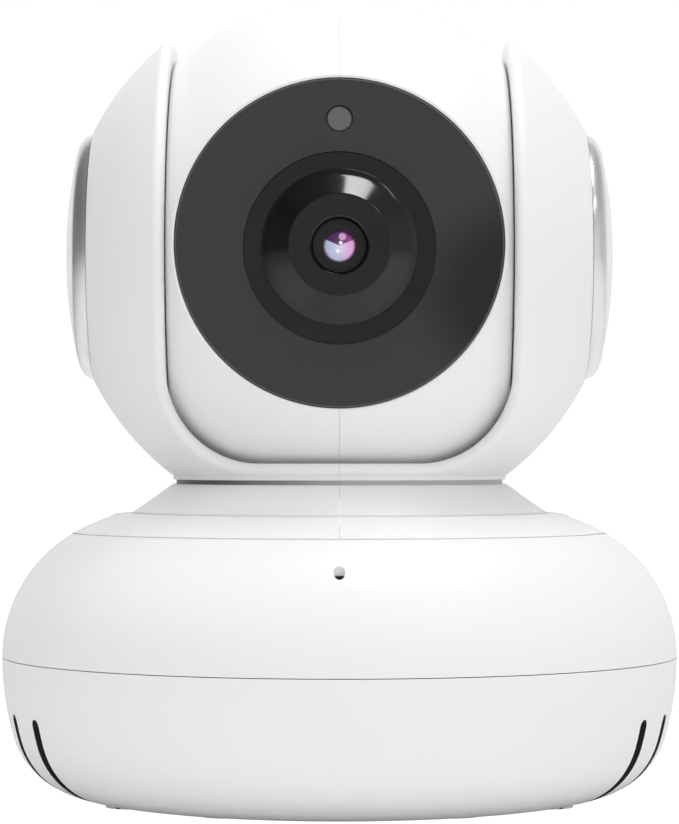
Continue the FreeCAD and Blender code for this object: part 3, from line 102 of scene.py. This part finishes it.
class Look(Nodes):
    """A procedural material. Its methods add the layers that the looks below share."""

    def __init__(self, name, colour, roughness, metallic=0.0, specular=0.5):
        self.material = bpy.data.materials.new(name)
        self.material.use_nodes = True
        super().__init__(self.material.node_tree)
        self.shader = self.tree.nodes["Principled BSDF"]
        self.shader.inputs["Base Color"].default_value = (*colour, 1)
        self.shader.inputs["Roughness"].default_value = roughness
        self.shader.inputs["Metallic"].default_value = metallic
        self.shader.inputs["Specular IOR Level"].default_value = specular
        self.place = self.node("ShaderNodeTexCoord").outputs["Object"]
        self.height = None

    def mm(self):
        """The point's x, y and z in millimetres."""
        split = self.node("ShaderNodeSeparateXYZ", Vector=self.place)
        return [self.times(out, 1 / MM) for out in split.outputs]

    def noise(self, size_mm, detail=2.0, rough=0.5, stretch=None):
        """Noise from 0 to 1 with features of about that size."""
        place = self.place
        if stretch is not None:
            place = self.node("ShaderNodeMapping", Vector=place, Scale=stretch).outputs[0]
        scale = 1.0 / (size_mm * MM)
        made = self.node("ShaderNodeTexNoise", Vector=place, Scale=scale, Detail=detail, Roughness=rough)
        return made.outputs["Fac"]

    def cells(self, size_mm, feature="F1"):
        """The distance to the nearest cell's middle, or to the nearest cell wall."""
        scale = 1.0 / (size_mm * MM)
        made = self.node("ShaderNodeTexVoronoi", {"feature": feature}, Vector=self.place, Scale=scale)
        return made.outputs["Distance"]

    def rings(self, size_mm):
        """Fine turned rings round the lens axis, from 0 to 1."""
        offset = self.vector("SUBTRACT", self.place, (0, 0, LENS_Z * MM))
        flat = self.vector("MULTIPLY", offset, (1, 0, 1))
        turns = self.times(self.vector("LENGTH", flat, out="Value"), 2 * math.pi / (size_mm * MM))
        return self.span(self.math("SINE", turns), -1.0, 1.0)

    def edges(self, radius_mm):
        """1 on sharp edges and 0 on open faces."""
        bevel = self.node("ShaderNodeBevel", {"samples": 4}, Radius=radius_mm * MM).outputs[0]
        normal = self.node("ShaderNodeNewGeometry").outputs["Normal"]
        return self.span(self.vector("DOT_PRODUCT", bevel, normal, out="Value"), 0.995, 0.90)

    def tint(self, factor, colour):
        """Mixes the colour so far towards another one where the factor is high."""
        made = self.node("ShaderNodeMix", {"data_type": "RGBA"})
        base = self.shader.inputs["Base Color"]
        self.feed(made.inputs[0], factor)
        self.feed(made.inputs[6], base.links[0].from_socket if base.links else base.default_value)
        made.inputs[7].default_value = (*colour, 1)
        self.tree.links.new(made.outputs[2], base)

    def roughen(self, factor, low, high):
        self.tree.links.new(self.span(factor, 0.25, 0.75, low, high), self.shader.inputs["Roughness"])

    def raise_by(self, height, depth_mm):
        """Adds a bump layer. Height 1 stands `depth_mm` above height 0."""
        bump = self.node("ShaderNodeBump", Height=height, Strength=1.0, Distance=depth_mm * MM)
        if self.height is not None:
            self.tree.links.new(self.height, bump.inputs["Normal"])
        self.height = bump.outputs[0]
        self.tree.links.new(self.height, self.shader.inputs["Normal"])


# ---- looks shared by several pieces ---------------------------------------------------------------
def moulded(name, colour, roughness, grain_mm, grain_depth, wear):
    """Injection-moulded plastic: faint flow marks, a mould-grain bump and worn edges."""
    look = Look(name, colour, roughness)
    flow = look.noise(22.0, 3.0, 0.55)
    look.tint(look.span(flow, 0.35, 0.7, 0.0, 0.6), tuple(c * 0.955 for c in colour))
    look.tint(look.times(look.edges(0.35), 0.55), wear)
    look.roughen(look.noise(6.0, 4.0, 0.62), roughness * 0.86, roughness * 1.16)
    look.raise_by(look.noise(3.2, 1.0), 0.006)
    look.raise_by(look.noise(grain_mm, 2.0, 0.6), grain_depth)
    return look.material


def metal(name, colour, roughness, stretch, scratch_depth=0.004, tarnish=None):
    """Drawn or turned metal: fine lines along one direction, a little tarnish and bright edges."""
    look = Look(name, colour, roughness, metallic=1.0)
    lines = look.noise(0.25, 3.0, 0.6, stretch)
    blotch = look.noise(4.0, 4.0, 0.6)
    look.tint(look.span(blotch, 0.45, 0.8, 0.0, 0.5), tarnish or tuple(c * 0.7 for c in colour))
    look.roughen(lines, roughness * 0.75, roughness * 1.35)
    look.raise_by(lines, scratch_depth)
    look.tint(look.times(look.edges(0.15), 0.5), tuple(min(1.0, c * 1.25) for c in colour))
    return look.material


def speckled(name, colour, roughness, speck_mm, speck, depth=0.01):
    """Pressed or sintered stuff with a visible grain."""
    look = Look(name, colour, roughness)
    grain = look.cells(speck_mm)
    look.tint(look.span(grain, 0.3, 0.75, 0.0, 0.7), speck)
    look.roughen(look.noise(speck_mm * 2, 3.0), roughness * 0.85, min(1.0, roughness * 1.15))
    look.raise_by(grain, depth)
    return look.material


# ---- the white housing ----------------------------------------------------------------------------
def depth_in_base(look, r, z):
    """How deep a point lies under the base's outside, which is a side arc and a tighter corner arc."""
    corner_radius, corner_out, corner_up = BASE_CORNER
    side_radius, side_out, side_up = BASE_SIDE
    out, up = look.minus(r, side_out), look.minus(z, side_up)
    under_side = look.minus(side_radius, look.far(out, up))
    under_corner = look.minus(corner_radius, look.far(look.minus(r, corner_out), look.minus(z, corner_up)))
    apart = math.hypot(corner_out - side_out, corner_up - side_up)
    above = look.plus(look.times(out, (side_up - corner_up) / apart),
                      look.times(up, (corner_out - side_out) / apart))
    return look.mix(look.math("LESS_THAN", above, 0.0), under_side, under_corner)


def vent_painted_shade(look, x, z, r):
    """Painted shade: 1 on the walls of the vents, which lie deeper than the outside or face along the base's
    round.
    """
    along = look.vector("NORMALIZE", look.vector("CROSS_PRODUCT", (0, 0, 1), look.place))
    normal = look.node("ShaderNodeNewGeometry").outputs["True Normal"]
    wall = look.absolute(look.vector("DOT_PRODUCT", along, normal, out="Value"))
    inside = look.math("MAXIMUM", look.span(depth_in_base(look, r, z), 0.2, 0.3), look.span(wall, 0.35, 0.45))
    at_side = look.span(look.absolute(x), 33.5, 34.0)
    return look.times(inside, at_side, look.span(z, 15.6, 15.3), look.span(r, 42.9, 43.1))


def microphone_hole_painted_shade(look, x, y, z):
    """Painted shade: 1 on the lower part of the microphone hole's wall. The upper part catches the light."""
    hole = look.span(look.far(x, look.minus(y, MIC_Y)), MIC_RADIUS + 0.03, MIC_RADIUS - 0.03)
    return look.times(hole, look.span(z, 29.0, 30.0), look.span(z, 37.82, 37.6))


def groove_painted_shade(look, x, z, r):
    """How much painted shade the groove round the neck gets: most on the left."""
    height = look.absolute(look.minus(z, GROOVE_Z))
    groove = look.times(look.span(height, 0.37, 0.34), look.span(r, 27.12, 27.0), look.span(r, 26.4, 26.5))
    return look.times(groove, look.span(x, -19.0, 1.0, 0.95, 0.45))


def white_plastic():
    """White housing plastic, with painted shade inside the vents, the microphone hole and the groove round
    the neck.
    """
    look = Look("white_plastic", (0.86, 0.862, 0.86), 0.42, specular=0.35)
    look.tint(look.span(look.noise(30.0, 2.0), 0.3, 0.7, 0.0, 0.3), (0.85, 0.85, 0.845))
    look.roughen(look.noise(9.0, 3.0), 0.41, 0.44)
    look.raise_by(look.noise(0.18, 2.0, 0.6), 0.0004)
    x, y, z = look.mm()
    r = look.far(x, y)
    # Painted shade: the vent walls, the lower part of the microphone hole and the groove round the neck are
    # tinted dark where shade falls.
    look.tint(vent_painted_shade(look, x, z, r), (0.03, 0.03, 0.03))
    look.tint(microphone_hole_painted_shade(look, x, y, z), (0.012, 0.012, 0.012))
    look.tint(groove_painted_shade(look, x, z, r), (0.10, 0.10, 0.105))
    return look.material


# ---- the silver side caps -------------------------------------------------------------------------
def cap_normal(look):
    """The normal of a side cap, worked out from its dome and its rounded flank, on both caps."""
    x, y, z = look.mm()
    rise = look.minus(z, TILT_Z)
    r = look.far(y, rise)
    dome = look.math("LESS_THAN", r, CAP_SHOULDER)
    flank = look.math("DIVIDE", look.minus(r, FLANK_R), look.math("MAXIMUM", r, 1.0))
    radial = look.math("MAXIMUM", dome, flank)
    middle = look.times(look.math("SIGN", x), look.span(dome, 0.0, 1.0, FLANK_X, CAP_CENTRE_X))
    outward = look.node("ShaderNodeCombineXYZ", X=look.minus(x, middle), Y=look.times(y, radial),
                        Z=look.times(rise, radial)).outputs[0]
    frames = {"vector_type": "NORMAL", "convert_from": "OBJECT", "convert_to": "WORLD"}
    turned = look.node("ShaderNodeVectorTransform", frames, Vector=outward).outputs[0]
    smooth = look.vector("NORMALIZE", turned)
    outer = look.math("GREATER_THAN", look.absolute(x), FLANK_X)
    raw = look.node("ShaderNodeNewGeometry").outputs["Normal"]
    return look.node("ShaderNodeMix", {"data_type": "VECTOR"}, i0=outer, i4=raw, i5=smooth).outputs[1]


def cap_silver():
    """Pale satin silver paint over plastic."""
    look = Look("cap_silver", (0.77, 0.765, 0.75), 0.28, metallic=0.88)
    look.tint(look.span(look.noise(12.0, 2.0), 0.3, 0.7, 0.0, 0.4), (0.74, 0.735, 0.72))
    look.roughen(look.noise(5.0, 3.0), 0.26, 0.31)
    look.feed(look.shader.inputs["Normal"], cap_normal(look))
    return look.material


# ---- the dark window and the lens -----------------------------------------------------------------
def window_black():
    """Smoked, polished acrylic, with a painted highlight: a paler bevel."""
    look = Look("window_black", (0.030, 0.030, 0.0303), 0.03, specular=0.5)
    look.roughen(look.noise(9.0, 4.0, 0.6), 0.024, 0.034)
    look.tint(look.span(look.cells(2.4), 0.02, 0.0, 0.0, 0.3), (0.08, 0.08, 0.08))
    look.raise_by(look.noise(18.0, 1.0), 0.0008)
    x, _, z = look.mm()
    out = look.far(x, look.minus(z, TILT_Z))
    # Painted highlight: the bevel round the window's edge is tinted paler, as a light line along it.
    look.tint(look.span(out, WINDOW_EDGE - 0.02, WINDOW_EDGE + 0.02), (0.060, 0.060, 0.0605))
    return look.material


def bezel_black():
    """Semi-gloss black plastic."""
    look = Look("bezel_black", (0.005, 0.005, 0.0052), 0.15, specular=0.45)
    look.tint(look.span(look.noise(5.0, 3.0), 0.4, 0.7, 0.0, 0.4), (0.0075, 0.0075, 0.0075))
    look.roughen(look.noise(3.0, 3.0), 0.14, 0.17)
    look.raise_by(look.noise(0.14, 2.0), 0.0005)
    return look.material


def lens_black():
    """Black anodised aluminium with turning marks and bright edges."""
    look = Look("lens_black", (0.010, 0.010, 0.011), 0.38, specular=0.35)
    look.raise_by(look.rings(0.22), 0.006)
    look.roughen(look.noise(0.6, 3.0), 0.30, 0.46)
    look.tint(look.times(look.edges(0.1), 0.5), (0.06, 0.06, 0.065))
    return look.material


def lens_glass():
    """Coated glass with painted reflections: blue to pink low down, a dark violet wedge above, three round
    painted reflections and faint rings, darker at the rim, and a painted glow.
    """
    look = Look("lens_glass", (0.46, 0.50, 0.68), 0.03, specular=0.6)
    x, _, z = look.mm()
    up = look.minus(z, LENS_Z)
    r = look.far(x, up)
    # Painted reflections of the coating: blue to pink across, paler near the middle, faint rings, and a dark
    # violet wedge above that turns magenta to the right.
    look.tint(look.span(x, -0.5, 1.9), (0.78, 0.36, 0.68))
    look.tint(look.span(r, 1.4, 0.0, 0.0, 0.75), (0.72, 0.70, 0.84))
    look.tint(look.times(look.rings(0.42), 0.22), (0.30, 0.28, 0.45))
    wedge = look.minus(up, look.times(look.absolute(x), 0.44))
    dark = look.span(wedge, 0.02, 0.12)
    look.tint(dark, (0.070, 0.018, 0.095))
    look.tint(look.times(dark, look.span(x, -0.3, 1.8)), (0.26, 0.045, 0.21))
    # Painted reflections: a pink one and two white highlights.
    painted_reflection_spots = (
        # across, up, outer and inner radius, colour
        (0.45, 1.45, 0.62, 0.48, (0.60, 0.33, 0.52)),
        (0.18, 0.50, 0.34, 0.18, (0.95, 0.90, 0.98)),
        (-0.25, -0.75, 0.36, 0.12, (0.93, 0.92, 0.97)),
    )
    for across, above, outer, inner, colour in painted_reflection_spots:
        distance = look.far(look.minus(x, across), look.minus(up, above))
        look.tint(look.span(distance, outer, inner), colour)
    look.tint(look.span(r, 2.1, 2.5), (0.02, 0.015, 0.03))
    # Painted glow: the glass shines with its own painted colour, though it is no lamp.
    seen = look.shader.inputs["Base Color"].links[0].from_socket
    look.tree.links.new(seen, look.shader.inputs["Emission Color"])
    look.shader.inputs["Emission Strength"].default_value = 0.35
    look.shader.inputs["Coat Weight"].default_value = 0.4
    look.roughen(look.noise(1.5, 3.0), 0.02, 0.04)
    return look.material


def clear_plastic():
    """Smoky plastic, as on the light sensor's window."""
    look = Look("clear_plastic", (0.125, 0.125, 0.127), 0.12)
    look.tint(look.span(look.noise(1.2, 2.0), 0.4, 0.7, 0.0, 0.4), (0.115, 0.115, 0.118))
    look.roughen(look.noise(2.0, 3.0), 0.07, 0.14)
    return look.material


def circuit_board():
    """Green solder mask over tracks, with gold pads."""
    look = Look("circuit_board", (0.012, 0.105, 0.035), 0.32)
    tracks = look.span(look.cells(2.6, "DISTANCE_TO_EDGE"), 0.03, 0.06, 1.0, 0.0)
    look.tint(look.times(tracks, 0.8), (0.02, 0.19, 0.06))
    look.tint(look.span(look.cells(1.9), 0.12, 0.10), (0.62, 0.52, 0.30))
    look.raise_by(tracks, 0.02)
    look.roughen(look.noise(3.0), 0.26, 0.40)
    return look.material


def make_materials():
    """One material for each material slot of the record."""
    brass_tarnish = (0.45, 0.30, 0.12)
    return {
        "white_plastic": white_plastic(),
        "cap_grey": cap_silver(),
        "window_black": window_black(),
        "bezel_black": bezel_black(),
        "lens_black": lens_black(),
        "lens_glass": lens_glass(),
        "rubber": speckled("rubber", (0.022, 0.022, 0.022), 0.72, 0.35, (0.04, 0.04, 0.04)),
        "brass": metal("brass", (0.74, 0.52, 0.20), 0.26, (1, 1, 0.05), tarnish=brass_tarnish),
        "steel": metal("steel", (0.56, 0.56, 0.57), 0.30, (1, 1, 0.06)),
        "circuit_board": circuit_board(),
        "nylon": moulded("nylon", (0.78, 0.75, 0.64), 0.42, 0.3, 0.003, (0.86, 0.84, 0.74)),
        "black_plastic": moulded("black_plastic", (0.02, 0.02, 0.02), 0.45, 0.25, 0.005, (0.06, 0.06, 0.06)),
        "blue_plastic": moulded("blue_plastic", (0.02, 0.09, 0.42), 0.34, 0.25, 0.003, (0.1, 0.2, 0.5)),
        "paper_cone": speckled("paper_cone", (0.025, 0.025, 0.026), 0.85, 0.5, (0.05, 0.05, 0.05), 0.02),
        "magnet": speckled("magnet", (0.10, 0.10, 0.105), 0.5, 0.25, (0.16, 0.16, 0.165)),
        "clear_plastic": clear_plastic(),
        "chip": speckled("chip", (0.018, 0.018, 0.019), 0.55, 0.15, (0.03, 0.03, 0.03), 0.004),
        "copper": metal("copper", (0.72, 0.33, 0.17), 0.28, (0.04, 1, 1), 0.03),
        "key_grey": moulded("key_grey", (0.30, 0.30, 0.30), 0.4, 0.25, 0.003, (0.42, 0.42, 0.42)),
    }


def dress_nodes(materials):
    for entry in frame["record"]["subparts"]:
        mesh = nodes[entry["node"]].data
        mesh.materials.clear()
        mesh.materials.append(materials[entry["material_slot"]])


# ---- studio, in metres ----------------------------------------------------------------------------
def make_floor():
    """A white floor plane, greyer far to the left, which glows towards the camera as the backdrop does."""
    bpy.ops.mesh.primitive_plane_add(size=8.0)
    floor = bpy.context.object
    floor.name = "floor"
    look = Look("floor_white", (0.82, 0.82, 0.82), 0.7, specular=0.05)
    x, _, _ = look.mm()
    look.tint(look.span(x, -80.0, -450.0), (0.42, 0.42, 0.42))
    look.raise_by(look.noise(2.0, 2.0), 0.01)
    look.shader.inputs["Emission Color"].default_value = (1, 1, 1, 1)
    seen = look.node("ShaderNodeLightPath").outputs["Is Camera Ray"]
    look.feed(look.shader.inputs["Emission Strength"], look.plus(seen, 0.05))
    floor.data.materials.append(look.material)


def soft_light(name, place, target_z, width, height, power, seen):
    """A softbox. `seen` is "matt" for one that glossy surfaces don't mirror, "gloss" for the opposite."""
    data = bpy.data.lights.new(name, "AREA")
    data.shape = "RECTANGLE"
    data.size = width
    data.size_y = height
    data.energy = power
    light = bpy.data.objects.new(name, data)
    light.location = place
    light.rotation_euler = (Vector((0, 0, target_z)) - Vector(place)).to_track_quat("-Z", "Y").to_euler()
    light.visible_glossy = seen != "matt"
    light.visible_diffuse = seen != "gloss"
    bpy.context.scene.collection.objects.link(light)


def make_lights():
    soft_light("key", (0.22, -1.20, 0.16), 0.07, 0.30, 0.30, 1.95, "matt")
    soft_light("right", (0.85, -0.75, 0.35), 0.07, 0.5, 0.5, 0.30, "matt")
    soft_light("ceiling", (-0.50, -0.05, 0.85), 0.09, 0.9, 0.9, 2.0, "matt")
    soft_light("overhead", (0.20, -0.06, 0.84), 0.09, 0.26, 0.30, 1.8, "matt")
    soft_light("glint", (0.165, -0.055, 0.71), 0.09, 0.215, 0.25, 2.1, "gloss")
    soft_light("arc", (0.50, -0.50, 0.70), 0.09, 0.34, 0.03, 0.35, "gloss")


class Studio(Nodes):
    """The world's shader: how bright the studio is in each direction."""

    # brightness of what glossy surfaces mirror, from the far left (-1) to the far right (1)
    ACROSS = (
        (-1.0, 0.12), (-0.8, 0.12), (-0.5, 0.25), (-0.2, 0.35), (-0.08, 0.60),
        (0.1, 0.60), (0.4, 0.75), (0.8, 0.78), (1.0, 0.50),
    )

    def __init__(self):
        world = bpy.data.worlds.new("studio")
        bpy.context.scene.world = world
        world.use_nodes = True
        super().__init__(world.node_tree)
        direction = self.node("ShaderNodeTexCoord").outputs["Generated"]
        self.x, self.y, self.z = self.node("ShaderNodeSeparateXYZ", Vector=direction).outputs

    def ramp(self, value, stops):
        """Straight lines between (position, brightness) stops."""
        result = stops[0][1]
        for (low, _), (high, brightness) in zip(stops, stops[1:]):
            result = self.mix(self.span(value, low, high), result, brightness)
        return result

    def reflected(self):
        """What glossy surfaces mirror: darker on the left, white behind, and a dark patch in front."""
        around = self.ramp(self.x, self.ACROSS)
        around = self.mix(self.span(self.z, 0.25, 0.6), around, self.times(around, 0.45))
        around = self.mix(self.span(self.y, 0.60, 0.80), around, 1.0)
        across = self.math("DIVIDE", self.minus(self.x, 0.064), 0.030)
        above = self.math("DIVIDE", self.minus(self.z, 0.056), 0.027)
        patch = self.span(self.far(across, above), 1.35, 0.75)
        in_front = self.span(self.y, -0.5, -0.6)
        return self.mix(self.times(patch, in_front), around, 0.03)

    def lit(self):
        """What lights matt surfaces: mostly the ceiling, then the front and the right."""
        above = self.span(self.z, 0.0, 1.0, 0.0, 1.16)
        front = self.span(self.y, 0.0, -1.0, 0.0, 0.12)
        right = self.span(self.x, 0.0, 1.0, 0.0, 0.12)
        return self.plus(self.plus(above, front), right)

    def finish(self):
        path = self.node("ShaderNodeLightPath").outputs
        strength = self.mix(path["Is Glossy Ray"], self.lit(), self.reflected())
        strength = self.mix(path["Is Camera Ray"], strength, 1.0)
        background = self.tree.nodes["Background"]
        background.inputs["Color"].default_value = (1, 1, 1, 1)
        self.tree.links.new(strength, background.inputs["Strength"])


def make_camera():
    """Close by, level with the neck and turned up a little."""
    data = bpy.data.cameras.new("camera")
    data.lens = 126.4
    data.clip_start = 0.01
    camera = bpy.data.objects.new("camera", data)
    camera.location = (0, -0.4748, 0.0552)
    aim = Vector((0, 0, 0.0626))
    camera.rotation_euler = (aim - camera.location).to_track_quat("-Z", "Y").to_euler()
    bpy.context.scene.collection.objects.link(camera)
    bpy.context.scene.camera = camera


dress_nodes(make_materials())
make_floor()
Studio().finish()
make_lights()
make_camera()
bpy.context.scene.view_settings.view_transform = "Standard"
